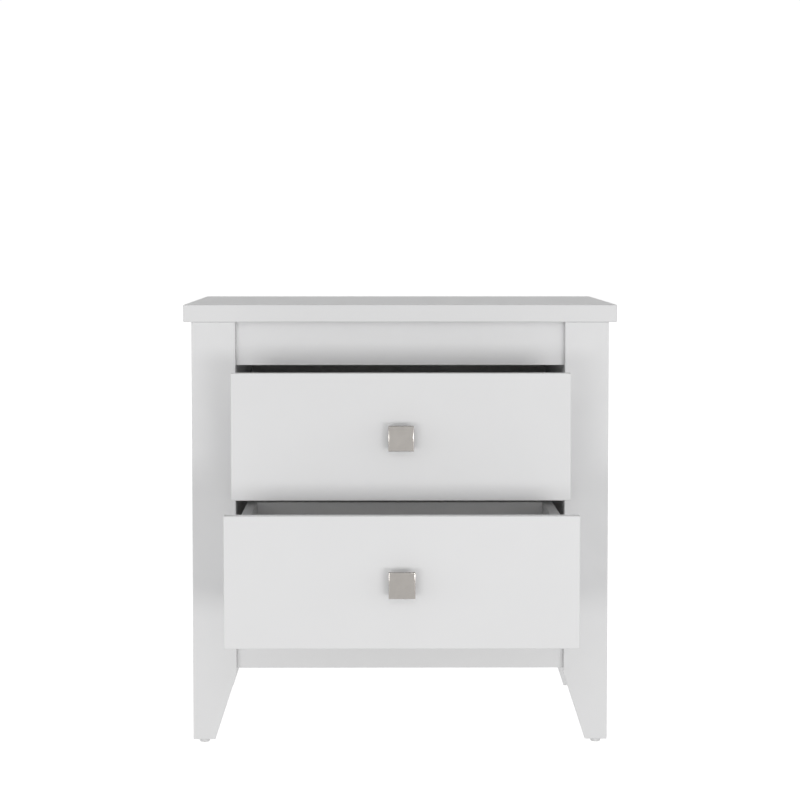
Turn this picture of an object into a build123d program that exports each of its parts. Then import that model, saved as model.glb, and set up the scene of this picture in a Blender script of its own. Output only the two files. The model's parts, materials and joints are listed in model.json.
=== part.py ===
from build123d import *
import os

# Nightstand with two drawers, in millimetres. +X is to the right seen from the front, +Y goes to
# the back, +Z goes up. While it is designed, Y = 0 is the front face of the front legs and Z = 0 is
# the floor. The finished pieces are then moved along Y, so that the origin is at the middle of the
# bottom of the whole object with its drawers standing open.

# ---------------------------------------------------------------- driving dimensions
TOP_WIDTH = 550.0
TOP_THICKNESS = 22.0
TOP_FRONT_OVERHANG = 4.0
TOP_REAR_OVERHANG = 28.5
TOP_SIDE_OVERHANG = 10.0
TOP_EDGE_RADIUS = 1.2

BODY_DEPTH = 397.0
LEG_LENGTH = 535.0
LEG_WIDTH = 55.5
LEG_FOOT_WIDTH = 28.0
TAPER_HEIGHT = 84.0
BOARD = 16.0
BOARD_EDGE_RADIUS = 0.8
SIDE_RECESS = 3.0

APRON_HEIGHT = 55.5
BOTTOM_RAIL_HEIGHT = 73.0
BOTTOM_RAIL_CLEARANCE = 89.5

BACK_THICKNESS = 3.0
BACK_LAP = 25.0
NAIL_RADIUS = 0.75
NAIL_LENGTH = 18.0
NAIL_HEAD_RADIUS = 2.0
NAIL_HEAD_HEIGHT = 0.8
NAILS_UP = 5
NAILS_ACROSS = 4

GLIDE_RADIUS = 6.5
GLIDE_HEIGHT = 4.0
GLIDE_ROUND = 1.8
GLIDE_PIN_RADIUS = 1.2
GLIDE_PIN_LENGTH = 14.0

DRAWER_GAP = 2.0
DRAWER_SIDE_GAP = 2.4
FRONT_EDGE_RADIUS = 1.0
BOX_BOARD = 12.7
BOX_REAR_GAP = 41.0
BOX_BELOW_FRONT_TOP = 19.0
BOX_ABOVE_FRONT_BOTTOM = 12.0
GROOVE_HEIGHT = 10.0
GROOVE_DEPTH = 5.0
BOX_BOTTOM_THICKNESS = 3.0

UPPER_PULL = 138.0
LOWER_PULL_LEFT = 12.0

SLIDE_THICKNESS = 12.7
SLIDE_HEIGHT = 35.0
SLIDE_STEEL = 1.2
SLIDE_SETBACK = 2.0
SLIDE_REAR_SETBACK = 22.0
SLIDE_ABOVE_BOX_BOTTOM = 40.0
CABINET_MEMBER_SHORT = 3.2
CABINET_MEMBER_LIP = 1.4
MIDDLE_MEMBER_HEIGHT = 26.8
MIDDLE_MEMBER_START = 3.4
MIDDLE_MEMBER_SHORT = 2.5
DRAWER_MEMBER_HEIGHT = 19.0
DRAWER_MEMBER_START = 5.6
RETAINER_LENGTH = 135.0
RETAINER_WIDTH = 4.0
SLIDE_SCREW_INSET = 40.0

KNOB_SIZE = 31.0
KNOB_PLATE = 5.0
KNOB_BEVEL = 0.8
KNOB_PROJECTION = 25.0
KNOB_NECK_RADIUS = 6.0
KNOB_BASE_RADIUS = 10.0
KNOB_SCREW_RADIUS = 2.0
KNOB_SCREW_DEPTH = 12.0

DOWEL_RADIUS = 4.0
DOWEL_IN_FACE = 10.0
DOWEL_IN_EDGE = 20.0
CAM_RADIUS = 7.5
CAM_HEIGHT = 12.0
CAM_SETBACK = 24.0
SMALL_CAM_RADIUS = 6.0
SMALL_CAM_HEIGHT = 9.0
CAM_BOLT_RADIUS = 3.5
CAM_BOLT_THREAD_RADIUS = 3.0
CAM_BOLT_THREAD = 11.0
JOINT_SPREAD = 24.0
SCREW_RADIUS = 1.75
SCREW_HEAD_RADIUS = 3.5
SCREW_HEAD_HEIGHT = 1.6
SLIDE_SCREW_LENGTH = 10.0
BOX_SCREW_LENGTH = 35.0

BORE_CLEARANCE = 0.1
RUN_CLEARANCE = 0.3

# ---------------------------------------------------------------- places worked out from them
LEG_BOTTOM = GLIDE_HEIGHT
LEG_TOP = LEG_BOTTOM + LEG_LENGTH
TAPER_TOP = LEG_BOTTOM + TAPER_HEIGHT
TOP_SURFACE = LEG_TOP + TOP_THICKNESS
BODY_HALF = TOP_WIDTH / 2 - TOP_SIDE_OVERHANG
OPENING_HALF = BODY_HALF - LEG_WIDTH
REAR_LEG_FRONT = BODY_DEPTH - BOARD
TOP_BACK = BODY_DEPTH + TOP_REAR_OVERHANG

RAIL_BOTTOM = LEG_BOTTOM + BOTTOM_RAIL_CLEARANCE
RAIL_TOP = RAIL_BOTTOM + BOTTOM_RAIL_HEIGHT
APRON_BOTTOM = LEG_TOP - APRON_HEIGHT
FRONT_HEIGHT = (APRON_BOTTOM - RAIL_TOP - 3 * DRAWER_GAP) / 2
LOWER_FRONT_BOTTOM = RAIL_TOP + DRAWER_GAP
UPPER_FRONT_BOTTOM = LOWER_FRONT_BOTTOM + FRONT_HEIGHT + DRAWER_GAP

BOX_HALF = OPENING_HALF - SLIDE_THICKNESS
BOX_INNER_HALF = BOX_HALF - BOX_BOARD
BOX_BACK = REAR_LEG_FRONT - BOX_REAR_GAP
SLIDE_FRONT = BOARD + SLIDE_SETBACK
SLIDE_LENGTH = BOX_BACK - SLIDE_REAR_SETBACK - SLIDE_FRONT
LOWER_PULL = SLIDE_LENGTH - LOWER_PULL_LEFT

KNOB_FRONT = -LOWER_PULL - KNOB_PROJECTION
ORIGIN_Y = (KNOB_FRONT + TOP_BACK) / 2

SIDES = (("left", -1), ("right", 1))

nodes = {}
cuts = {}


# ---------------------------------------------------------------- general shapes
def block(x, y, z):
    """A box between two limits on each axis, given in either order."""
    low = [min(pair) for pair in (x, y, z)]
    size = [abs(pair[1] - pair[0]) for pair in (x, y, z)]
    return Pos(*low) * Box(*size, align=(Align.MIN, Align.MIN, Align.MIN))


def rod(start, direction, radius, length):
    """A cylinder that starts at a point and runs along a direction."""
    place = Plane(origin=start, z_dir=direction)
    return place.location * Cylinder(radius, length, align=(Align.CENTER, Align.CENTER, Align.MIN))


def along(point, direction, distance):
    """The point moved a distance along a direction."""
    return tuple(p + d * distance for p, d in zip(point, direction))


def opposite(direction):
    return tuple(-d for d in direction)


def board(x, y, z, radius=BOARD_EDGE_RADIUS):
    """A painted board with every edge eased."""
    solid = block(x, y, z)
    return fillet(solid.edges(), radius)


def add(name, shape):
    """Adds one piece to a node. A node with several pieces is a set of identical parts."""
    nodes.setdefault(name, []).append(shape)


def cut(name, shape):
    """Notes a hole, pocket or groove that is machined into a node's board."""
    cuts.setdefault(name, []).append(shape)


# ---------------------------------------------------------------- fasteners
def dowel(group, point, direction, face_board, edge_board):
    """A wooden dowel across a joint. It goes into the face of one board and the edge of the other."""
    start = along(point, direction, -DOWEL_IN_FACE)
    add(group, rod(start, direction, DOWEL_RADIUS, DOWEL_IN_FACE + DOWEL_IN_EDGE))
    hole_radius = DOWEL_RADIUS + BORE_CLEARANCE
    into_face = rod(point, opposite(direction), hole_radius, DOWEL_IN_FACE + BORE_CLEARANCE)
    into_edge = rod(point, direction, hole_radius, DOWEL_IN_EDGE + BORE_CLEARANCE)
    cut(face_board, into_face)
    cut(edge_board, into_edge)


def cam_joint(prefix, point, direction, cam_face, face_board, edge_board, board_thickness, small=False):
    """A cam bolt that is screwed into a face, and the cam lock in the other board that pulls it in.

    point is where the bolt crosses the joint, direction runs along the bolt into the board with the
    cam, and cam_face is the outward normal of the face that the cam is pressed into."""
    radius = SMALL_CAM_RADIUS if small else CAM_RADIUS
    height = SMALL_CAM_HEIGHT if small else CAM_HEIGHT
    thread = rod(point, opposite(direction), CAM_BOLT_THREAD_RADIUS, CAM_BOLT_THREAD)
    shank = rod(point, direction, CAM_BOLT_RADIUS, CAM_SETBACK)
    add(prefix + "cam_bolts", thread + shank)

    axis_point = along(point, direction, CAM_SETBACK)
    mouth = along(axis_point, cam_face, board_thickness / 2)
    lock = rod(mouth, opposite(cam_face), radius, height)
    bolt_way = rod(axis_point, opposite(direction), CAM_BOLT_RADIUS + RUN_CLEARANCE, 2 * radius)
    bolt_end = rod(axis_point, direction, CAM_BOLT_RADIUS + RUN_CLEARANCE, RUN_CLEARANCE)
    slot_x = Plane(origin=mouth, z_dir=cam_face).location * Box(radius * 1.2, 1.4, 3.0)
    slot_y = Plane(origin=mouth, z_dir=cam_face).location * Box(1.4, radius * 1.2, 3.0)
    add(prefix + "cam_locks", lock - bolt_way - bolt_end - slot_x - slot_y)

    pocket_depth = height + BORE_CLEARANCE
    cut(edge_board, rod(mouth, opposite(cam_face), radius + BORE_CLEARANCE, pocket_depth))
    cut(edge_board, rod(point, direction, CAM_BOLT_RADIUS + BORE_CLEARANCE, CAM_SETBACK))
    thread_radius = CAM_BOLT_THREAD_RADIUS + BORE_CLEARANCE
    cut(face_board, rod(point, opposite(direction), thread_radius, CAM_BOLT_THREAD + BORE_CLEARANCE))


def screw(group, head_seat, direction, length, boards):
    """A pan-head screw. head_seat is under its head, and direction is the way that it is driven."""
    head = rod(head_seat, opposite(direction), SCREW_HEAD_RADIUS, SCREW_HEAD_HEIGHT)
    shank = rod(head_seat, direction, SCREW_RADIUS, length)
    add(group, head + shank)
    hole_start = along(head_seat, direction, -BORE_CLEARANCE)
    hole = rod(hole_start, direction, SCREW_RADIUS + BORE_CLEARANCE, length + 2 * BORE_CLEARANCE)
    for name in boards:
        cut(name, hole)


# ---------------------------------------------------------------- carcase
def make_legs():
    """Four tapered leg boards, each on its own glide."""
    rows = (("front", 0.0), ("rear", REAR_LEG_FRONT))
    for row, y in rows:
        for side, s in SIDES:
            name = f"{row}_{side}_leg"
            corners = [
                (s * BODY_HALF, LEG_BOTTOM),
                (s * BODY_HALF, LEG_TOP),
                (s * OPENING_HALF, LEG_TOP),
                (s * OPENING_HALF, TAPER_TOP),
                (s * (BODY_HALF - LEG_FOOT_WIDTH), LEG_BOTTOM),
            ]
            outline = Polyline(*corners, close=True)
            face = make_face(Plane.XZ * outline)
            leg = extrude(face, amount=BOARD, dir=(0, 1, 0))
            leg = Pos(0, y, 0) * leg
            add(name, fillet(leg.edges(), BOARD_EDGE_RADIUS))

            foot = (s * (BODY_HALF - LEG_FOOT_WIDTH / 2), y + BOARD / 2, LEG_BOTTOM)
            pad = rod(foot, (0, 0, -1), GLIDE_RADIUS, GLIDE_HEIGHT)
            pad = fillet(pad.edges().group_by(Axis.Z)[0], GLIDE_ROUND)
            pin = rod(foot, (0, 0, 1), GLIDE_PIN_RADIUS, GLIDE_PIN_LENGTH)
            add("leg_glides", pad + pin)
            pin_hole = GLIDE_PIN_RADIUS + BORE_CLEARANCE
            cut(name, rod(foot, (0, 0, 1), pin_hole, GLIDE_PIN_LENGTH + BORE_CLEARANCE))


def make_panels():
    """The top, the double-walled sides, the rails, the floor of the case and its back."""
    add("top_panel", board(
        (-TOP_WIDTH / 2, TOP_WIDTH / 2), (-TOP_FRONT_OVERHANG, TOP_BACK), (LEG_TOP, TOP_SURFACE),
        TOP_EDGE_RADIUS))
    between_legs = (BOARD, REAR_LEG_FRONT)
    panel_height = (TAPER_TOP, LEG_TOP)
    outer_face = BODY_HALF - SIDE_RECESS
    for side, s in SIDES:
        add(f"{side}_side_panel",
            board((s * (outer_face - BOARD), s * outer_face), between_legs, panel_height))
        add(f"{side}_runner_panel",
            board((s * OPENING_HALF, s * (OPENING_HALF + BOARD)), between_legs, panel_height))
        add(f"{side}_base_batten",
            board((s * (OPENING_HALF + BOARD), s * (outer_face - BOARD)), between_legs,
                  (TAPER_TOP, TAPER_TOP + BOARD)))
    inside = (-OPENING_HALF, OPENING_HALF)
    behind_front_legs = (BOARD, 2 * BOARD)
    add("front_apron", board(inside, behind_front_legs, (APRON_BOTTOM, LEG_TOP)))
    add("front_bottom_rail", board(inside, behind_front_legs, (RAIL_BOTTOM, RAIL_TOP)))
    add("rear_top_rail", board(inside, (REAR_LEG_FRONT, BODY_DEPTH), (APRON_BOTTOM, LEG_TOP)))
    add("case_floor", board(inside, (2 * BOARD, BODY_DEPTH), (RAIL_TOP - BOARD, RAIL_TOP)))
    back_half = OPENING_HALF + BACK_LAP
    add("back_panel", block((-back_half, back_half), (BODY_DEPTH, BODY_DEPTH + BACK_THICKNESS),
                            (RAIL_TOP - BOARD, LEG_TOP)))


def join_case():
    """Cam fittings and dowels that hold the case together."""
    apron_middle = (APRON_BOTTOM + LEG_TOP) / 2
    rail_middle = (RAIL_BOTTOM + RAIL_TOP - BOARD) / 2
    half_spread = JOINT_SPREAD / 2
    front_rail_y = 1.5 * BOARD
    rear_rail_y = BODY_DEPTH - BOARD / 2
    case_y = (BOARD + REAR_LEG_FRONT) / 2
    case_spread = (REAR_LEG_FRONT - BOARD) / 4
    lower_bay = LOWER_FRONT_BOTTOM + FRONT_HEIGHT * 0.8
    upper_bay = UPPER_FRONT_BOTTOM + FRONT_HEIGHT * 0.8
    for side, s in SIDES:
        inward = (-s, 0, 0)
        runner = f"{side}_runner_panel"
        panel = f"{side}_side_panel"
        rear_leg = f"rear_{side}_leg"
        wall = s * OPENING_HALF
        rails = (
            ("front_apron", runner, front_rail_y, apron_middle, (0, 1, 0)),
            ("front_bottom_rail", runner, front_rail_y, rail_middle, (0, 1, 0)),
            ("rear_top_rail", rear_leg, rear_rail_y, apron_middle, (0, -1, 0)),
        )
        for rail, holder, y, z, cam_face in rails:
            cam_joint("case_", (wall, y, z + half_spread), inward, cam_face, holder, rail, BOARD)
            dowel("case_dowels", (wall, y, z - half_spread), inward, holder, rail)
        for y in (case_y - case_spread, case_y + case_spread):
            cam_joint("case_", (wall, y, RAIL_TOP - BOARD / 2), inward, (0, 0, -1), runner,
                      "case_floor", BOARD)
            cam_joint("case_", (s * (OPENING_HALF + BOARD / 2), y, LEG_TOP), (0, 0, -1), inward,
                      "top_panel", runner, BOARD)
            dowel("case_dowels", (s * (BODY_HALF - SIDE_RECESS - BOARD / 2), y, LEG_TOP), (0, 0, -1),
                  "top_panel", panel)
        ends = ((f"front_{side}_leg", BOARD, (0, 1, 0)), (rear_leg, REAR_LEG_FRONT, (0, -1, 0)))
        for leg, y, into_panel in ends:
            for z in (lower_bay, upper_bay):
                cam_joint("case_", (s * (OPENING_HALF + BOARD / 2), y, z), into_panel, inward, leg,
                          runner, BOARD)
            for z in (TAPER_TOP + 2 * BOARD, (TAPER_TOP + LEG_TOP) / 2, LEG_TOP - 3 * BOARD):
                dowel("case_dowels", (s * (BODY_HALF - SIDE_RECESS - BOARD / 2), y, z), into_panel,
                      leg, panel)


def nail_back():
    """Nails round the edge of the back panel."""
    back_face = BODY_DEPTH + BACK_THICKNESS
    edge = OPENING_HALF + BACK_LAP / 2
    floor_middle = RAIL_TOP - BOARD / 2
    rail_middle = LEG_TOP - BOARD
    places = []
    for i in range(NAILS_UP):
        z = floor_middle + (rail_middle - floor_middle) * i / (NAILS_UP - 1)
        places += [(-edge, z, "rear_left_leg"), (edge, z, "rear_right_leg")]
    for i in range(NAILS_ACROSS):
        x = OPENING_HALF * (2 * (i + 0.5) / NAILS_ACROSS - 1)
        places += [(x, floor_middle, "case_floor"), (x, rail_middle, "rear_top_rail")]
    for x, z, held_by in places:
        seat = (x, back_face, z)
        head = rod(seat, (0, 1, 0), NAIL_HEAD_RADIUS, NAIL_HEAD_HEIGHT)
        shank = rod(seat, (0, -1, 0), NAIL_RADIUS, NAIL_LENGTH)
        add("back_panel_nails", head + shank)
        hole = rod(seat, (0, -1, 0), NAIL_RADIUS + BORE_CLEARANCE, NAIL_LENGTH + BORE_CLEARANCE)
        cut("back_panel", hole)
        cut(held_by, hole)


# ---------------------------------------------------------------- drawers
def make_slide(drawer, side, s, middle_z):
    """One ball-bearing slide: a member on the case, one on the drawer and one between them."""

    def bar(depth, height, length=SLIDE_LENGTH, start=SLIDE_FRONT):
        x = [s * (OPENING_HALF - t) for t in depth]
        return block(x, (start, start + length), [middle_z + h for h in height])

    def channel(web_start, flange_start, flange_end, half_height):
        web = bar((web_start, web_start + SLIDE_STEEL), (-half_height, half_height))
        upper = bar((flange_start, flange_end), (half_height - SLIDE_STEEL, half_height))
        lower = bar((flange_start, flange_end), (-half_height, SLIDE_STEEL - half_height))
        return web + upper + lower

    half = SLIDE_HEIGHT / 2
    case_end = SLIDE_THICKNESS - CABINET_MEMBER_SHORT
    case_member = channel(0, 0, case_end, half)
    lip = (case_end - SLIDE_STEEL, case_end)
    inner_face = half - SLIDE_STEEL
    case_member += bar(lip, (inner_face - CABINET_MEMBER_LIP, inner_face))
    case_member += bar(lip, (-inner_face, CABINET_MEMBER_LIP - inner_face))
    case_name = f"{drawer}_{side}_slide_case_member"
    add(case_name, case_member)

    middle_half = MIDDLE_MEMBER_HEIGHT / 2
    middle_end = SLIDE_THICKNESS - MIDDLE_MEMBER_SHORT
    middle = channel(MIDDLE_MEMBER_START, MIDDLE_MEMBER_START, middle_end, middle_half)
    add(f"{drawer}_{side}_slide_middle_member", middle)

    drawer_half = DRAWER_MEMBER_HEIGHT / 2
    web_start = SLIDE_THICKNESS - SLIDE_STEEL
    drawer_name = f"{drawer}_{side}_slide_drawer_member"
    add(drawer_name, channel(web_start, DRAWER_MEMBER_START, SLIDE_THICKNESS, drawer_half))

    rear_start = SLIDE_FRONT + SLIDE_LENGTH - RETAINER_LENGTH - SLIDE_SETBACK
    front_start = SLIDE_FRONT + SLIDE_SETBACK
    outer_depth = (MIDDLE_MEMBER_START, MIDDLE_MEMBER_START + RETAINER_WIDTH)
    inner_start = DRAWER_MEMBER_START + RUN_CLEARANCE
    inner_depth = (inner_start, inner_start + RETAINER_WIDTH)
    outer_height = (middle_half, inner_face - RUN_CLEARANCE)
    inner_height = (drawer_half + RUN_CLEARANCE, middle_half - SLIDE_STEEL)
    for sign in (-1, 1):
        for depth, height, start in ((outer_depth, outer_height, rear_start),
                                     (inner_depth, inner_height, front_start)):
            strip = bar(depth, [sign * h for h in height], RETAINER_LENGTH, start)
            add(f"{drawer}_slide_ball_retainers", strip)

    wall = f"{side}_runner_panel"
    box_side = f"{drawer}_drawer_{side}_side"
    for y in (SLIDE_FRONT + SLIDE_SCREW_INSET, SLIDE_FRONT + SLIDE_LENGTH - SLIDE_SCREW_INSET):
        case_seat = (s * (OPENING_HALF - SLIDE_STEEL), y, middle_z)
        drawer_seat = (s * (OPENING_HALF - web_start), y, middle_z)
        screw("slide_case_screws", case_seat, (s, 0, 0), SLIDE_SCREW_LENGTH, (wall, case_name))
        screw(f"{drawer}_slide_drawer_screws", drawer_seat, (-s, 0, 0), SLIDE_SCREW_LENGTH,
              (box_side, drawer_name))


def make_knob(drawer, middle_z):
    """A square plate on a round neck that flares to its base, and the screw that holds it."""
    plate_back = -(KNOB_PROJECTION - KNOB_PLATE)
    half = KNOB_SIZE / 2
    plate = block((-half, half), (-KNOB_PROJECTION, plate_back), (-half, half))
    plate = chamfer(plate.edges(), KNOB_BEVEL)
    flare = KNOB_BASE_RADIUS - KNOB_NECK_RADIUS
    profile = Polyline(
        (0, plate_back), (KNOB_NECK_RADIUS, plate_back), (KNOB_NECK_RADIUS, -2 * flare))
    curve = ThreePointArc(
        (KNOB_NECK_RADIUS, -2 * flare), (KNOB_NECK_RADIUS + flare * 0.3, -flare * 0.9),
        (KNOB_BASE_RADIUS, -flare * 0.25))
    foot = Polyline((KNOB_BASE_RADIUS, -flare * 0.25), (KNOB_BASE_RADIUS, 0), (0, 0), (0, plate_back))
    neck = revolve(make_face(profile + curve + foot), Axis.Y)
    hole = rod((0, 0, 0), (0, -1, 0), KNOB_SCREW_RADIUS + BORE_CLEARANCE, KNOB_SCREW_DEPTH)
    knob = plate + neck - hole
    add(f"{drawer}_knob", Pos(0, 0, middle_z) * knob)

    seat = (0, BOARD, middle_z)
    head = rod(seat, (0, 1, 0), 2 * KNOB_SCREW_RADIUS, SCREW_HEAD_HEIGHT)
    shank_length = BOARD + KNOB_SCREW_DEPTH - 1
    shank = rod(seat, (0, -1, 0), KNOB_SCREW_RADIUS, shank_length)
    add(f"{drawer}_knob_screw", head + shank)
    cut(f"{drawer}_drawer_front",
        rod((0, 0, middle_z), (0, 1, 0), KNOB_SCREW_RADIUS + BORE_CLEARANCE, BOARD))


def make_drawer(drawer, front_bottom):
    """One drawer, closed: front, box, bottom, joints, knob and slides."""
    front = f"{drawer}_drawer_front"
    back = f"{drawer}_drawer_back"
    front_half = OPENING_HALF - DRAWER_SIDE_GAP
    front_top = front_bottom + FRONT_HEIGHT
    add(front, board((-front_half, front_half), (0, BOARD), (front_bottom, front_top),
                     FRONT_EDGE_RADIUS))

    box_bottom = front_bottom + BOX_ABOVE_FRONT_BOTTOM
    box_top = front_top - BOX_BELOW_FRONT_TOP
    groove = box_bottom + GROOVE_HEIGHT
    sheet_top = groove + BOX_BOTTOM_THICKNESS
    for side, s in SIDES:
        add(f"{drawer}_drawer_{side}_side",
            board((s * BOX_INNER_HALF, s * BOX_HALF), (BOARD, BOX_BACK), (box_bottom, box_top)))
    add(back, board((-BOX_INNER_HALF, BOX_INNER_HALF), (BOX_BACK - BOX_BOARD, BOX_BACK),
                    (sheet_top, box_top)))

    sheet_half = BOX_INNER_HALF + GROOVE_DEPTH
    sheet_front = BOARD - GROOVE_DEPTH
    add(f"{drawer}_drawer_bottom",
        block((-sheet_half, sheet_half), (sheet_front, BOX_BACK), (groove, sheet_top)))
    slack = BORE_CLEARANCE
    groove_cut = block((-sheet_half - slack, sheet_half + slack), (sheet_front - slack, BOX_BACK),
                       (groove - slack, sheet_top + slack))
    for name in (front, f"{drawer}_drawer_left_side", f"{drawer}_drawer_right_side"):
        cut(name, groove_cut)

    cam_z = ((sheet_top + box_bottom + SLIDE_ABOVE_BOX_BOTTOM - SLIDE_HEIGHT / 2) / 2 + DOWEL_RADIUS,
             box_top - CAM_SETBACK)
    for side, s in SIDES:
        box_side = f"{drawer}_drawer_{side}_side"
        x = s * (BOX_INNER_HALF + BOX_BOARD / 2)
        for z in cam_z:
            cam_joint(f"{drawer}_drawer_", (x, BOARD, z), (0, 1, 0), (-s, 0, 0), front, box_side,
                      BOX_BOARD, small=True)
        for z in (sheet_top + CAM_SETBACK, box_top - CAM_SETBACK):
            screw(f"{drawer}_drawer_back_screws", (s * BOX_HALF, BOX_BACK - BOX_BOARD / 2, z),
                  (-s, 0, 0), BOX_SCREW_LENGTH, (box_side, back))
        make_slide(drawer, side, s, box_bottom + SLIDE_ABOVE_BOX_BOTTOM)
    make_knob(drawer, (front_bottom + front_top) / 2)


# ---------------------------------------------------------------- assembly
def pull_of(name):
    """How far a node stands forward with its drawer open. Middle slide members go half way."""
    for drawer, pull in (("upper", UPPER_PULL), ("lower", LOWER_PULL)):
        if name.startswith(drawer):
            if "case_member" in name:
                return 0.0
            if "middle_member" in name or "ball_retainers" in name:
                return pull / 2
            return pull
    return 0.0


def machined(name):
    """The node's pieces, with every hole and groove that was noted for it."""
    pieces = nodes[name]
    if name not in cuts:
        return pieces
    return [piece - cuts[name] for piece in pieces]


make_legs()
make_panels()
join_case()
nail_back()
make_drawer("upper", UPPER_FRONT_BOTTOM)
make_drawer("lower", LOWER_FRONT_BOTTOM)

os.makedirs("parts", exist_ok=True)
for node in nodes:
    move = Pos(0, -pull_of(node) - ORIGIN_Y, 0)
    solids = [solid for piece in machined(node) for solid in (move * piece).solids()]
    export_step(Compound(children=solids), f"parts/{node}.step")
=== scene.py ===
import json
import math

import bpy
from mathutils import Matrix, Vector


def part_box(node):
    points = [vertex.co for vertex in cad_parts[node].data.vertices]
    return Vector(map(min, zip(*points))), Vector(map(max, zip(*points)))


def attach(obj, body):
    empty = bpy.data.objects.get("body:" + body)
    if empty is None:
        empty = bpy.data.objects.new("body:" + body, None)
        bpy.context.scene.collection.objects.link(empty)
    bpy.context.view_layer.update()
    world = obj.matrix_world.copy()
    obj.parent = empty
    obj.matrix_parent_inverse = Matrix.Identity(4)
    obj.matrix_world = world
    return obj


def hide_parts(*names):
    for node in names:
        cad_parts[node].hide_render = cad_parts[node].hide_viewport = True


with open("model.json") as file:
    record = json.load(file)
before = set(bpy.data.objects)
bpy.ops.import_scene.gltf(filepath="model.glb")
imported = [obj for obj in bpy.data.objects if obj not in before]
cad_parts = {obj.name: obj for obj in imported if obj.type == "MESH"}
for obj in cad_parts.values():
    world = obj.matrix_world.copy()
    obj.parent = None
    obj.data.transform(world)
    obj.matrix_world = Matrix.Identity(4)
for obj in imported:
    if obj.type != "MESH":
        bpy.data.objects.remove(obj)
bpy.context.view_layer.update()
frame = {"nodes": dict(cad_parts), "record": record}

MM = 0.001
NEAR = 0.01 * MM
DRAWERS = ("upper", "lower")
SIDES = ("left", "right")

# ------------------------------------------------------------------ sizes of what is modelled here
SHEET_STEEL = 1.2 * MM
BEND_RADIUS = 1.8 * MM
CASE_MEMBER_LIP = 2.4 * MM
ACCESS_HOLE_RADIUS = 2.6 * MM
SLOT_LENGTH = 9.0 * MM
# Places of the punched holes, as shares of a slide's length from its front.
CASE_MEMBER_SLOTS = (0.3, 0.62)
MIDDLE_MEMBER_HOLES = (0.12, 0.5, 0.88)
DRAWER_MEMBER_SLOTS = (0.28, 0.7)
BALL_RADIUS = 1.2 * MM
BALL_PITCH = 9.0 * MM
RETAINER_LENGTH = 135.0 * MM
RETAINER_WIDTH = 4.0 * MM
RETAINER_SHEET = 0.8 * MM
RETAINER_EDGE = 0.25 * MM
RETAINER_INSET = 0.3 * MM
SLIDE_SCREW_INSET = 40.0 * MM
SCREW_HEAD_RADIUS = 3.5 * MM
SCREW_HEAD_HEIGHT = 1.6 * MM
SCREW_HEAD_ROUND = 1.1 * MM
SCREW_SHANK_RADIUS = 1.7 * MM
SCREW_SHANK_LENGTH = 6.0 * MM
SCREW_SHANK_SUNK = 0.1 * MM
RECESS_REACH = 2.0 * MM
RECESS_HALF_WIDTH = 0.42 * MM
RECESS_FLOOR = 0.6 * MM
KNOB_PLATE = 5.0 * MM
KNOB_PLATE_BEVEL = 0.9 * MM
KNOB_FACE_INSET = 0.3 * MM
KNOB_NECK_RADIUS = 6.0 * MM
KNOB_BASE_RADIUS = 10.0 * MM
KNOB_NECK_SUNK = 1.0 * MM
# The flare's curve and the plain rim behind it, as shares of how far the base stands out.
FLARE_CURVE = 1.75
FLARE_RIM = 0.25
FLARE_STEPS = 8


# ------------------------------------------------------------------ working by hand in code
def put_down():
    """Leaves edit mode with nothing selected."""
    if bpy.context.object and bpy.context.object.mode != "OBJECT":
        bpy.ops.object.mode_set(mode="OBJECT")
    bpy.ops.object.select_all(action="DESELECT")


def pick_up(piece):
    """Makes one piece the only thing that the next operator works on."""
    put_down()
    piece.select_set(True)
    bpy.context.view_layer.objects.active = piece


def name_piece(name):
    piece = bpy.context.object
    piece.name = name
    piece.data.name = name
    return piece


def block(name, low, high):
    """A cube primitive added at its size and place between two corners."""
    put_down()
    middle = (Vector(low) + Vector(high)) / 2
    bpy.ops.mesh.primitive_cube_add(size=1, location=middle)
    piece = name_piece(name)
    piece.scale = Vector(high) - Vector(low)
    settle(piece)
    return piece


def settle(piece):
    """Moves a piece's place, turn and size into its mesh."""
    pick_up(piece)
    bpy.ops.object.transform_apply(location=True, rotation=True, scale=True)


def mark_faces(piece, test):
    """Opens a piece in edit mode with only the faces selected whose middle and normal pass a test."""
    pick_up(piece)
    bpy.ops.object.mode_set(mode="EDIT")
    bpy.ops.mesh.select_mode(type="FACE")
    bpy.ops.mesh.select_all(action="DESELECT")
    bpy.ops.object.mode_set(mode="OBJECT")
    for face in piece.data.polygons:
        face.select = test(face.center, face.normal)
    bpy.ops.object.mode_set(mode="EDIT")


def mark_edges(piece, test):
    """Opens a piece in edit mode with only the edges selected whose two ends pass a test."""
    pick_up(piece)
    bpy.ops.object.mode_set(mode="EDIT")
    bpy.ops.mesh.select_mode(type="EDGE")
    bpy.ops.mesh.select_all(action="DESELECT")
    bpy.ops.object.mode_set(mode="OBJECT")
    points = piece.data.vertices
    for edge in piece.data.edges:
        a, b = (points[i].co for i in edge.vertices)
        edge.select = test(a, b)
    bpy.ops.object.mode_set(mode="EDIT")


def apply_modifiers(piece):
    pick_up(piece)
    for modifier in list(piece.modifiers):
        bpy.ops.object.modifier_apply(modifier=modifier.name)


def cut_away(piece, tool):
    """Cuts one solid out of another and throws the tool away."""
    modifier = piece.modifiers.new("cut", "BOOLEAN")
    modifier.object = tool
    modifier.operation = "DIFFERENCE"
    modifier.solver = "EXACT"
    apply_modifiers(piece)
    bpy.data.objects.remove(tool)


def join(name, pieces):
    """Joins pieces into one object, as parts of one component."""
    put_down()
    for piece in pieces:
        piece.select_set(True)
    bpy.context.view_layer.objects.active = pieces[0]
    bpy.ops.object.join()
    return name_piece(name)


def copy_of(piece, move, turn=(0, 0, 0)):
    """A copy with its own mesh, turned about the origin and moved."""
    twin = piece.copy()
    twin.data = piece.data.copy()
    bpy.context.scene.collection.objects.link(twin)
    twin.rotation_euler = turn
    twin.location = move
    settle(twin)
    return twin


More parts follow.
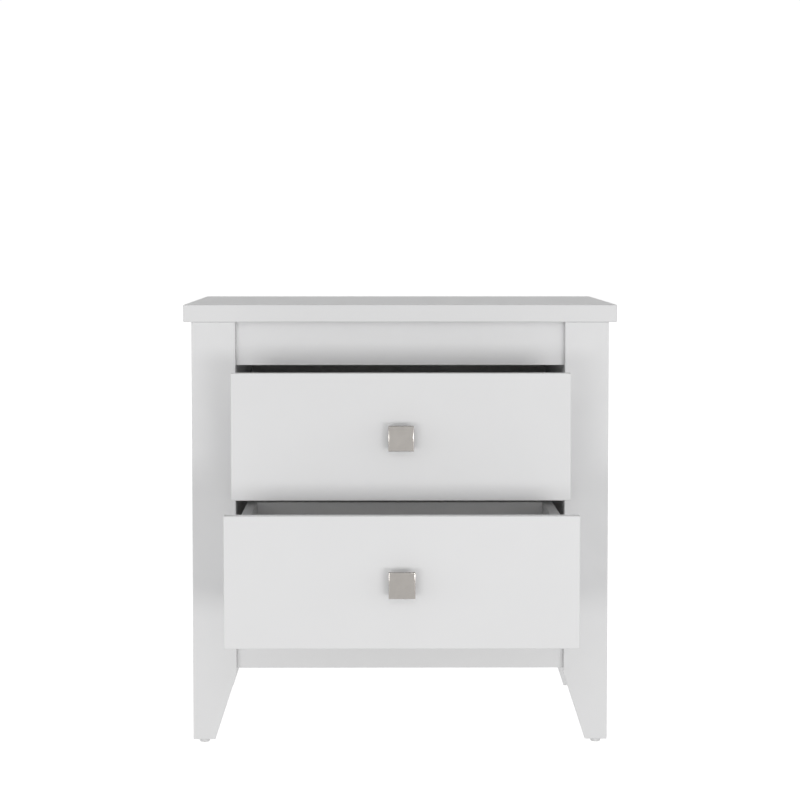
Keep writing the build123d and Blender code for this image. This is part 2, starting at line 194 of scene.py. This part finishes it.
def smooth(piece, degrees=35):
    pick_up(piece)
    bpy.ops.object.shade_smooth_by_angle(angle=math.radians(degrees))


def fit_out(piece, body, slot, material, *nodes):
    """Gives a finished piece its material, its body and the nodes that it stands for; the slot argument
    is not used.
    """
    piece.data.materials.clear()
    piece.data.materials.append(material)
    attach(piece, body)
    if nodes:
        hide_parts(*nodes)


# ------------------------------------------------------------------ materials
def new_material(name):
    material = bpy.data.materials.new(name)
    material.use_nodes = True
    tree = material.node_tree
    return material, tree.nodes, tree.links, tree.nodes["Principled BSDF"]


def grain(nodes, links, scale, detail=4.0, roughness=0.6, stretch=(1, 1, 1)):
    """A noise on object coordinates. scale is in repeats a metre and stretch is on each axis."""
    place = nodes.new("ShaderNodeTexCoord")
    spread = nodes.new("ShaderNodeMapping")
    spread.inputs["Scale"].default_value = stretch
    noise = nodes.new("ShaderNodeTexNoise")
    noise.inputs["Scale"].default_value = scale
    noise.inputs["Detail"].default_value = detail
    noise.inputs["Roughness"].default_value = roughness
    links.new(place.outputs["Object"], spread.inputs["Vector"])
    links.new(spread.outputs["Vector"], noise.inputs["Vector"])
    return noise.outputs["Fac"]


def ramp(nodes, links, source, low, high, start=0.3, end=0.7):
    """Two colours, or two greys given as numbers, spread over part of a noise's range."""
    colours = [c if isinstance(c, tuple) else (c, c, c) for c in (low, high)]
    band = nodes.new("ShaderNodeValToRGB")
    for stop, place, colour in zip(band.color_ramp.elements, (start, end), colours):
        stop.position = place
        stop.color = (*colour, 1)
    links.new(source, band.inputs["Fac"])
    return band.outputs["Color"]


def relief(nodes, links, source, shader, height, strength=1.0, under=None):
    """Bump of a given height in metres."""
    bump = nodes.new("ShaderNodeBump")
    bump.inputs["Strength"].default_value = strength
    bump.inputs["Distance"].default_value = height
    links.new(source, bump.inputs["Height"])
    if under:
        links.new(under, bump.inputs["Normal"])
    links.new(bump.outputs["Normal"], shader.inputs["Normal"])
    return bump.outputs["Normal"]


def satin_white(name, tone, rough, shine):
    """White foil on board: a faint cloudy tone, a fine pebbled surface and a rubbed satin sheen."""
    material, nodes, links, shader = new_material(name)
    cloud = grain(nodes, links, 9.0, detail=3.0)
    light, dark = (tone, tone, tone * 1.004), (tone * 0.985, tone * 0.985, tone * 0.989)
    links.new(ramp(nodes, links, cloud, dark, light), shader.inputs["Base Color"])
    smear = grain(nodes, links, 34.0, detail=5.0)
    satin = ramp(nodes, links, smear, *rough)
    rub = grain(nodes, links, 48.0, detail=9.0, roughness=0.7, stretch=(1, 0.35, 1))
    worn = ramp(nodes, links, rub, 0.0, 1.0, 0.66, 0.74)
    mix = nodes.new("ShaderNodeMix")
    mix.data_type = "RGBA"
    mix.inputs["B"].default_value = (0.56, 0.56, 0.56, 1)
    links.new(worn, mix.inputs["Factor"])
    links.new(satin, mix.inputs["A"])
    links.new(mix.outputs["Result"], shader.inputs["Roughness"])
    pebble = grain(nodes, links, 1500.0, detail=2.0)
    low = relief(nodes, links, pebble, shader, 0.02 * MM, 0.35)
    wave = grain(nodes, links, 60.0, detail=2.0)
    relief(nodes, links, wave, shader, 0.05 * MM, 0.2, under=low)
    shader.inputs["Specular IOR Level"].default_value = shine
    return material


def hardboard(name, axis, level, white_above, bare):
    """Thin fibreboard with one white face. The other side of a level along an axis is bare fibre."""
    material, nodes, links, shader = new_material(name)
    place = nodes.new("ShaderNodeTexCoord")
    split = nodes.new("ShaderNodeSeparateXYZ")
    links.new(place.outputs["Object"], split.inputs["Vector"])
    side = nodes.new("ShaderNodeMath")
    side.operation = "GREATER_THAN" if white_above else "LESS_THAN"
    side.inputs[1].default_value = level
    links.new(split.outputs[axis], side.inputs[0])

    fibre = grain(nodes, links, 420.0, detail=8.0, roughness=0.75)
    fleck = grain(nodes, links, 60.0, detail=6.0)
    brown = ramp(nodes, links, fibre, *bare)
    pale = ramp(nodes, links, fleck, (0.72, 0.72, 0.71), (0.77, 0.77, 0.76))
    mix = nodes.new("ShaderNodeMix")
    mix.data_type = "RGBA"
    links.new(side.outputs["Value"], mix.inputs["Factor"])
    links.new(brown, mix.inputs["A"])
    links.new(pale, mix.inputs["B"])
    links.new(mix.outputs["Result"], shader.inputs["Base Color"])
    dull = nodes.new("ShaderNodeMapRange")
    dull.inputs["To Min"].default_value = 0.78
    dull.inputs["To Max"].default_value = 0.48
    links.new(side.outputs["Value"], dull.inputs["Value"])
    links.new(dull.outputs["Result"], shader.inputs["Roughness"])
    relief(nodes, links, fibre, shader, 0.05 * MM, 0.5)
    return material


def metal(name, colour, rough, scale=700.0, stretch=(1, 1, 1), height=0.01):
    """A bare metal with fine grain or brushing, a cloudy finish and slightly uneven roughness."""
    material, nodes, links, shader = new_material(name)
    shader.inputs["Metallic"].default_value = 1.0
    brush = grain(nodes, links, scale, detail=6.0, stretch=stretch)
    cloud = grain(nodes, links, 90.0, detail=4.0)
    dark = tuple(c * 0.93 for c in colour)
    links.new(ramp(nodes, links, cloud, dark, colour), shader.inputs["Base Color"])
    links.new(ramp(nodes, links, brush, *rough), shader.inputs["Roughness"])
    relief(nodes, links, brush, shader, height * MM, 0.4)
    return material


def galvanised():
    """Zinc-plated sheet steel: soft grey patches of different sheen."""
    material, nodes, links, shader = new_material("galvanised_sheet")
    shader.inputs["Metallic"].default_value = 1.0
    place = nodes.new("ShaderNodeTexCoord")
    flakes = nodes.new("ShaderNodeTexVoronoi")
    flakes.inputs["Scale"].default_value = 520.0
    links.new(place.outputs["Object"], flakes.inputs["Vector"])
    links.new(ramp(nodes, links, flakes.outputs["Distance"], (0.58, 0.59, 0.61), (0.52, 0.53, 0.55),
                   0.0, 0.8), shader.inputs["Base Color"])
    links.new(ramp(nodes, links, flakes.outputs["Distance"], 0.30, 0.37, 0.0, 0.8),
              shader.inputs["Roughness"])
    lines = grain(nodes, links, 500.0, detail=4.0, stretch=(1, 0.04, 1))
    relief(nodes, links, lines, shader, 0.01 * MM, 0.4)
    return material


def plastic(name, colour, rough):
    """Moulded plastic with a fine spark-eroded texture."""
    material, nodes, links, shader = new_material(name)
    tone = grain(nodes, links, 200.0)
    dark = tuple(c * 0.94 for c in colour)
    links.new(ramp(nodes, links, tone, dark, colour), shader.inputs["Base Color"])
    spark = grain(nodes, links, 2500.0, detail=3.0)
    links.new(ramp(nodes, links, spark, *rough), shader.inputs["Roughness"])
    relief(nodes, links, spark, shader, 0.02 * MM, 0.4)
    return material


def beech():
    """Bare beech dowel with short dark flecks along its grain."""
    material, nodes, links, shader = new_material("beech_dowel")
    fleck = grain(nodes, links, 900.0, detail=6.0, stretch=(0.15, 1, 1))
    links.new(ramp(nodes, links, fleck, (0.42, 0.26, 0.14), (0.62, 0.44, 0.27)),
              shader.inputs["Base Color"])
    shader.inputs["Roughness"].default_value = 0.6
    relief(nodes, links, fleck, shader, 0.05 * MM, 0.5)
    return material


BARE_FIBRE = ((0.21, 0.125, 0.066), (0.36, 0.235, 0.135))
PRIMED_FIBRE = ((0.58, 0.57, 0.55), (0.68, 0.67, 0.65))
WHITE = satin_white("satin_white_board", 0.90, (0.30, 0.40), 0.35)
NICKEL = metal("satin_nickel", (0.36, 0.342, 0.322), (0.10, 0.15), 2600.0, (1, 1, 0.05), 0.002)
GALVANISED = galvanised()
ZINC_SCREW = metal("zinc_plated_screw", (0.62, 0.62, 0.60), (0.26, 0.38))
ZINC_CAST = metal("cast_zinc_cam", (0.46, 0.46, 0.47), (0.42, 0.55), 1200.0, height=0.03)
RETAINER = plastic("retainer_plastic", (0.66, 0.66, 0.62), (0.45, 0.6))
GLIDE = plastic("glide_plastic", (0.84, 0.84, 0.84), (0.35, 0.5))
BALL_STEEL = metal("polished_ball", (0.75, 0.75, 0.76), (0.08, 0.14), height=0.002)
BEECH = beech()


def finish_nodes():
    """Gives every CAD node the material of its slot."""
    by_slot = {
        "white_board": WHITE, "satin_nickel": NICKEL, "galvanised_steel": GALVANISED,
        "zinc_plated_steel": ZINC_SCREW, "zinc_casting": ZINC_CAST, "retainer_plastic": RETAINER,
        "glide_plastic": GLIDE, "beech": BEECH,
    }
    slots = {part["node"]: part["material_slot"] for part in frame["record"]["subparts"]}
    for name, node in frame["nodes"].items():
        node.data.materials.clear()
        if slots[name] == "white_sheet":
            low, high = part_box(name)
            if name == "back_panel":
                sheet = hardboard("back_panel_sheet", "Y", (low.y + high.y) / 2, False, BARE_FIBRE)
            else:
                sheet = hardboard(name + "_sheet", "Z", (low.z + high.z) / 2, True, PRIMED_FIBRE)
            node.data.materials.append(sheet)
        else:
            node.data.materials.append(by_slot[slots[name]])


# ------------------------------------------------------------------ knobs
def model_knob():
    """A square plate with softened edges on a round neck that flares to its base, face at y = 0."""
    low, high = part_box("upper_knob")
    size, reach = high.x - low.x, high.y - low.y
    plate_back = -(reach - KNOB_PLATE)
    plate = block("knob_plate", (-size / 2, -reach, -size / 2), (size / 2, plate_back, size / 2))
    mark_edges(plate, lambda a, b: True)
    bpy.ops.mesh.bevel(offset=KNOB_PLATE_BEVEL, segments=3, profile=0.6)
    mark_faces(plate, lambda middle, normal: max(abs(n) for n in normal) > 0.999)
    bpy.ops.mesh.inset(thickness=KNOB_FACE_INSET, use_individual=True)
    put_down()

    bpy.ops.mesh.primitive_circle_add(
        vertices=64, radius=KNOB_NECK_RADIUS, fill_type="NGON", rotation=(math.pi / 2, 0, 0),
        location=(0, plate_back - KNOB_NECK_SUNK, 0))
    neck = name_piece("knob_neck")
    settle(neck)
    mark_faces(neck, lambda middle, normal: True)
    flare = KNOB_BASE_RADIUS - KNOB_NECK_RADIUS
    straight = -plate_back - (FLARE_CURVE + FLARE_RIM) * flare + KNOB_NECK_SUNK
    bpy.ops.mesh.extrude_region_move(TRANSFORM_OT_translate={"value": (0, straight, 0)})
    radius = KNOB_NECK_RADIUS
    for i in range(1, FLARE_STEPS + 1):
        before, angle = (math.pi / 2 * k / FLARE_STEPS for k in (i - 1, i))
        wider = KNOB_NECK_RADIUS + flare * (1 - math.cos(angle))
        rise = FLARE_CURVE * flare * (math.sin(angle) - math.sin(before))
        bpy.ops.mesh.extrude_region_move(TRANSFORM_OT_translate={"value": (0, rise, 0)})
        bpy.ops.transform.resize(value=(wider / radius, 1, wider / radius))
        radius = wider
    bpy.ops.mesh.extrude_region_move(TRANSFORM_OT_translate={"value": (0, FLARE_RIM * flare, 0)})
    bpy.ops.mesh.select_all(action="SELECT")
    bpy.ops.mesh.normals_make_consistent(inside=False)
    knob = join("knob", [plate, neck])
    smooth(knob)
    return knob


def place_knobs():
    pattern = model_knob()
    for drawer in DRAWERS:
        low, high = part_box(f"{drawer}_knob")
        middle = (low + high) / 2
        knob = copy_of(pattern, (middle.x, high.y, middle.z))
        knob.name = f"{drawer}_square_knob"
        fit_out(knob, f"{drawer}_drawer", "satin_nickel", NICKEL, f"{drawer}_knob")
    bpy.data.objects.remove(pattern)


# ------------------------------------------------------------------ screws
def model_screw_head():
    """A pan head with a cross recess and a plain shank, its seat at z = 0 and its head upwards."""
    put_down()
    bpy.ops.mesh.primitive_cylinder_add(
        vertices=32, radius=SCREW_HEAD_RADIUS, depth=SCREW_HEAD_HEIGHT,
        location=(0, 0, SCREW_HEAD_HEIGHT / 2))
    head = name_piece("screw_head")
    settle(head)
    top = SCREW_HEAD_HEIGHT - NEAR
    mark_edges(head, lambda a, b: a.z > top and b.z > top)
    bpy.ops.mesh.bevel(offset=SCREW_HEAD_ROUND, segments=4)
    put_down()
    for turn in (0, math.pi / 2):
        tool = block("recess", (-RECESS_REACH, -RECESS_HALF_WIDTH, RECESS_FLOOR),
                     (RECESS_REACH, RECESS_HALF_WIDTH, 3 * MM))
        tool.rotation_euler.z = turn
        settle(tool)
        cut_away(head, tool)
    bpy.ops.mesh.primitive_cylinder_add(
        vertices=20, radius=SCREW_SHANK_RADIUS, depth=SCREW_SHANK_LENGTH,
        location=(0, 0, SCREW_SHANK_SUNK - SCREW_SHANK_LENGTH / 2))
    shank = name_piece("screw_shank")
    settle(shank)
    screw = join("screw", [head, shank])
    smooth(screw, 30)
    return screw


def drive(pattern, seat, direction):
    """A copy of the screw with its head's seat at a point and its head facing a direction."""
    return copy_of(pattern, seat, Vector(direction).to_track_quat("Z", "Y").to_euler())


def place_screws():
    pattern = model_screw_head()
    case_screws = []
    for drawer in DRAWERS:
        slide_screws = []
        box_screws = []
        for side, s in zip(SIDES, (-1, 1)):
            member_low, member_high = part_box(f"{drawer}_{side}_slide_drawer_member")
            case_low, case_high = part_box(f"{drawer}_{side}_slide_case_member")
            z = (member_low.z + member_high.z) / 2
            wall = case_high.x if s > 0 else case_low.x
            web = member_low.x if s > 0 else member_high.x
            for inset in (SLIDE_SCREW_INSET, case_high.y - case_low.y - SLIDE_SCREW_INSET):
                case_seat = (wall - s * SHEET_STEEL, case_low.y + inset, z)
                case_screws.append(drive(pattern, case_seat, (-s, 0, 0)))
                drawer_seat = (web + s * SHEET_STEEL, member_low.y + inset, z)
                slide_screws.append(drive(pattern, drawer_seat, (s, 0, 0)))
            low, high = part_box(f"{drawer}_drawer_back_screws")
            face = high.x - SCREW_HEAD_HEIGHT if s > 0 else low.x + SCREW_HEAD_HEIGHT
            for z in (low.z + SCREW_HEAD_RADIUS, high.z - SCREW_HEAD_RADIUS):
                box_screws.append(drive(pattern, (face, (low.y + high.y) / 2, z), (s, 0, 0)))
        for name, screws in (("slide_drawer_screws", slide_screws), ("drawer_back_screws", box_screws)):
            group = join(f"{drawer}_{name}_crosshead", screws)
            fit_out(group, f"{drawer}_drawer", "zinc_plated_steel", ZINC_SCREW, f"{drawer}_{name}")
        low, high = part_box(f"{drawer}_knob_screw")
        middle = (low + high) / 2
        seat = (middle.x, high.y - SCREW_HEAD_HEIGHT, middle.z)
        knob_screw = drive(pattern, seat, (0, 1, 0))
        knob_screw.name = f"{drawer}_knob_screw_crosshead"
        fit_out(knob_screw, f"{drawer}_drawer", "zinc_plated_steel", ZINC_SCREW, f"{drawer}_knob_screw")
    group = join("slide_case_screws_crosshead", case_screws)
    fit_out(group, "case", "zinc_plated_steel", ZINC_SCREW, "slide_case_screws")
    bpy.data.objects.remove(pattern)


# ------------------------------------------------------------------ drawer slides
def model_channel(name, low, high, web_side, lip=0.0):
    """A rolled channel: a box without its ends and its open side, bent and thickened."""
    channel = block(name, low, high)
    mark_faces(channel, lambda middle, normal: abs(normal.y) > 0.5 or normal.x * web_side < -0.5)
    bpy.ops.mesh.delete(type="FACE")
    web_x = high.x if web_side > 0 else low.x
    open_x = low.x if web_side > 0 else high.x
    middle_z = (low.z + high.z) / 2
    if lip:
        for sign in (-1, 1):
            mark_edges(channel, lambda a, b: all(
                abs(p.x - open_x) < NEAR and (p.z - middle_z) * sign > 0 for p in (a, b)))
            bpy.ops.mesh.extrude_region_move(TRANSFORM_OT_translate={"value": (0, 0, -sign * lip)})

    def bent(a, b):
        corner = abs(a.z - low.z) < NEAR or abs(a.z - high.z) < NEAR
        at_web = abs(a.x - web_x) < NEAR and abs(b.x - web_x) < NEAR
        at_lip = bool(lip) and abs(a.x - open_x) < NEAR and abs(b.x - open_x) < NEAR
        return corner and abs(a.z - b.z) < NEAR and abs(a.y - b.y) > NEAR and (at_web or at_lip)

    mark_edges(channel, bent)
    bpy.ops.mesh.bevel(offset=BEND_RADIUS, segments=4)
    bpy.ops.mesh.select_all(action="SELECT")
    bpy.ops.mesh.normals_make_consistent(inside=False)
    put_down()
    if sheet_faces_inward(channel, web_x, web_side):
        mark_faces(channel, lambda middle, normal: True)
        bpy.ops.mesh.flip_normals()
    wall = channel.modifiers.new("sheet", "SOLIDIFY")
    wall.thickness = SHEET_STEEL
    wall.offset = -1
    wall.use_even_offset = True
    apply_modifiers(channel)
    return channel


def sheet_faces_inward(channel, web_x, web_side):
    """Whether the web's faces point to the open side."""
    for face in channel.data.polygons:
        if abs(face.center.x - web_x) < NEAR:
            return face.normal.x * web_side < 0
    return False


def punch(channel, places, middle_z, slotted=False):
    """Round holes, or slots along the slide, through the web."""
    low_x = min(v.co.x for v in channel.data.vertices) - 1 * MM
    high_x = max(v.co.x for v in channel.data.vertices) + 1 * MM
    for y in places:
        bpy.ops.mesh.primitive_cylinder_add(
            vertices=24, radius=ACCESS_HOLE_RADIUS, depth=high_x - low_x,
            rotation=(0, math.pi / 2, 0), location=((low_x + high_x) / 2, y, middle_z))
        tool = name_piece("punch")
        settle(tool)
        if slotted:
            mark_faces(tool, lambda middle, normal: normal.y > 0.05)
            bpy.ops.transform.translate(value=(0, SLOT_LENGTH - 2 * ACCESS_HOLE_RADIUS, 0))
        cut_away(channel, tool)


def place_slides():
    for drawer in DRAWERS:
        for side, s in zip(SIDES, (-1, 1)):
            stem = f"{drawer}_{side}_slide"
            low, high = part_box(f"{stem}_case_member")
            middle_z = (low.z + high.z) / 2
            length = high.y - low.y
            case_member = model_channel(f"{stem}_case_channel", low, high, s, CASE_MEMBER_LIP)
            punch(case_member, [low.y + length * k for k in CASE_MEMBER_SLOTS], middle_z, slotted=True)
            smooth(case_member)
            fit_out(case_member, "case", "galvanised_steel", GALVANISED, f"{stem}_case_member")

            low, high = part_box(f"{stem}_middle_member")
            middle = model_channel(f"{stem}_middle_channel", low, high, s)
            punch(middle, [low.y + length * k for k in MIDDLE_MEMBER_HOLES], middle_z)
            smooth(middle)
            fit_out(middle, f"{drawer}_slide_middle", "galvanised_steel", GALVANISED,
                    f"{stem}_middle_member")

            low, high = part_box(f"{stem}_drawer_member")
            drawer_member = model_channel(f"{stem}_drawer_channel", low, high, -s)
            places = [low.y + length * k for k in DRAWER_MEMBER_SLOTS]
            punch(drawer_member, places, middle_z, slotted=True)
            smooth(drawer_member)
            fit_out(drawer_member, f"{drawer}_drawer", "galvanised_steel", GALVANISED,
                    f"{stem}_drawer_member")


def place_retainers():
    """Strips that space the balls, in the races above and below each middle member."""
    put_down()
    bpy.ops.mesh.primitive_uv_sphere_add(segments=14, ring_count=8, radius=BALL_RADIUS)
    ball = name_piece("ball")
    smooth(ball, 60)
    for drawer in DRAWERS:
        whole_low, whole_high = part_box(f"{drawer}_slide_ball_retainers")
        strips = []
        balls = []
        for side, s in zip(SIDES, (-1, 1)):
            mid_low, mid_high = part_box(f"{drawer}_{side}_slide_middle_member")
            mem_low, mem_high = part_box(f"{drawer}_{side}_slide_drawer_member")
            outer_x = (mid_high.x - RETAINER_WIDTH / 2) if s > 0 else (mid_low.x + RETAINER_WIDTH / 2)
            inner_x = (mem_high.x - RETAINER_WIDTH / 2) if s > 0 else (mem_low.x + RETAINER_WIDTH / 2)
            for sign in (-1, 1):
                mid_z = mid_high.z if sign > 0 else mid_low.z
                mem_z = mem_high.z if sign > 0 else mem_low.z
                far_z = whole_high.z if sign > 0 else whole_low.z
                race_z = (mid_z - sign * SHEET_STEEL + mem_z) / 2
                outer = (outer_x, (mid_z + far_z) / 2, whole_high.y - RETAINER_LENGTH)
                inner = (inner_x - s * RETAINER_INSET, race_z, whole_low.y)
                for x, z, y in (outer, inner):
                    strip = block("strip", (x - RETAINER_WIDTH / 2, y, z - RETAINER_SHEET / 2),
                                  (x + RETAINER_WIDTH / 2, y + RETAINER_LENGTH, z + RETAINER_SHEET / 2))
                    mark_edges(strip, lambda a, b: True)
                    bpy.ops.mesh.bevel(offset=RETAINER_EDGE, segments=2)
                    put_down()
                    strips.append(strip)
                    for i in range(int(RETAINER_LENGTH / BALL_PITCH)):
                        balls.append(copy_of(ball, (x, y + (i + 0.5) * BALL_PITCH, z)))
        body = f"{drawer}_slide_middle"
        cage = join(f"{drawer}_slide_retainer_strips", strips)
        smooth(cage)
        fit_out(cage, body, "retainer_plastic", RETAINER, f"{drawer}_slide_ball_retainers")
        row = join(f"{drawer}_slide_balls", balls)
        fit_out(row, body, "galvanised_steel", BALL_STEEL)
    bpy.data.objects.remove(ball)


# ------------------------------------------------------------------ stage
CAMERA_PLACE = (-20.8 * MM, -3230.3 * MM, 650.7 * MM)
CAMERA_PITCH = math.radians(3.80)
CAMERA_YAW = math.radians(0.37)
CAMERA_LENS = 112.6


def make_camera():
    data = bpy.data.cameras.new("camera")
    data.lens = CAMERA_LENS
    data.sensor_width = 36.0
    data.clip_end = 50.0
    camera = bpy.data.objects.new("camera", data)
    bpy.context.scene.collection.objects.link(camera)
    camera.location = CAMERA_PLACE
    camera.rotation_euler = (math.pi / 2 - CAMERA_PITCH, 0, -CAMERA_YAW)
    bpy.context.scene.camera = camera


# The surround by the height of the direction: a brightness of 1 is the white of the background.
SURROUND = ((-1.0, 0.32), (-0.12, 0.36), (-0.03, 1.02), (0.12, 1.02), (0.32, 0.47), (1.0, 0.33))
PANEL_WIDTH = 1.3
PANEL_HEIGHT = 0.7
PANELS = (
    ("left", (-1.3, -4.9, -0.10), 25.0),
    ("right", (1.3, -4.9, -0.10), 34.0),
    ("upper", (0.0, -4.6, 1.9), 10.5),
)
PANEL_AIM = (0, -0.1, 0.3)
FLOOR_SIZE = 40
FLOOR_BELOW = 0.2 * MM


def make_floor():
    """A plain pale floor, clear from below. It is as light as the surround and lights nothing."""
    put_down()
    bpy.ops.mesh.primitive_plane_add(size=FLOOR_SIZE, location=(0, 0, -FLOOR_BELOW))
    floor = name_piece("studio_floor")
    settle(floor)
    material, nodes, links, shader = new_material("pale_floor")
    shader.inputs["Base Color"].default_value = (0.25, 0.25, 0.25, 1)
    shader.inputs["Roughness"].default_value = 0.9
    shader.inputs["Specular IOR Level"].default_value = 0.0
    shader.inputs["Emission Color"].default_value = (1, 1, 1, 1)
    shader.inputs["Emission Strength"].default_value = 1.0
    side = nodes.new("ShaderNodeNewGeometry")
    clear = nodes.new("ShaderNodeBsdfTransparent")
    choice = nodes.new("ShaderNodeMixShader")
    links.new(side.outputs["Backfacing"], choice.inputs["Fac"])
    links.new(shader.outputs["BSDF"], choice.inputs[1])
    links.new(clear.outputs["BSDF"], choice.inputs[2])
    links.new(choice.outputs["Shader"], nodes["Material Output"].inputs["Surface"])
    floor.data.materials.append(material)
    floor.visible_diffuse = False
    floor.visible_shadow = False


def make_world():
    """A plain white surround that is brightest at the height of the eye and dimmer overhead."""
    world = bpy.data.worlds.new("studio")
    bpy.context.scene.world = world
    world.use_nodes = True
    nodes, links = world.node_tree.nodes, world.node_tree.links
    place = nodes.new("ShaderNodeTexCoord")
    split = nodes.new("ShaderNodeSeparateXYZ")
    height = nodes.new("ShaderNodeMapRange")
    height.inputs["From Min"].default_value = -1.0
    height.inputs["From Max"].default_value = 1.0
    band = nodes.new("ShaderNodeFloatCurve")
    curve = band.mapping.curves[0]
    for i, (z, light) in enumerate(SURROUND):
        at, value = (z + 1) / 2, light / 2
        if i in (0, 1):
            curve.points[i].location = (at, value)
        else:
            curve.points.new(at, value)
    for point in curve.points:
        point.handle_type = "VECTOR"
    band.mapping.update()
    double = nodes.new("ShaderNodeMath")
    double.operation = "MULTIPLY"
    double.inputs[1].default_value = 2.0
    links.new(place.outputs["Generated"], split.inputs["Vector"])
    links.new(split.outputs["Z"], height.inputs["Value"])
    links.new(height.outputs["Result"], band.inputs["Value"])
    links.new(band.outputs["Value"], double.inputs[0])
    background = nodes["Background"]
    background.inputs["Color"].default_value = (1, 1, 1, 1)
    links.new(double.outputs["Value"], background.inputs["Strength"])


def make_panels_of_light():
    """Two wide soft panels low in front, one on each side, and a weak one higher up."""
    for name, place, power in PANELS:
        data = bpy.data.lights.new(f"{name}_panel", "AREA")
        data.shape = "RECTANGLE"
        data.size = PANEL_WIDTH
        data.size_y = PANEL_HEIGHT
        data.energy = power
        panel = bpy.data.objects.new(f"{name}_panel", data)
        bpy.context.scene.collection.objects.link(panel)
        panel.location = place
        panel.rotation_euler = (Vector(PANEL_AIM) - Vector(place)).to_track_quat("-Z", "Y").to_euler()


finish_nodes()
place_knobs()
place_screws()
place_slides()
place_retainers()
make_camera()
make_floor()
make_world()
make_panels_of_light()
bpy.context.scene.view_settings.view_transform = "Standard"

put_down()
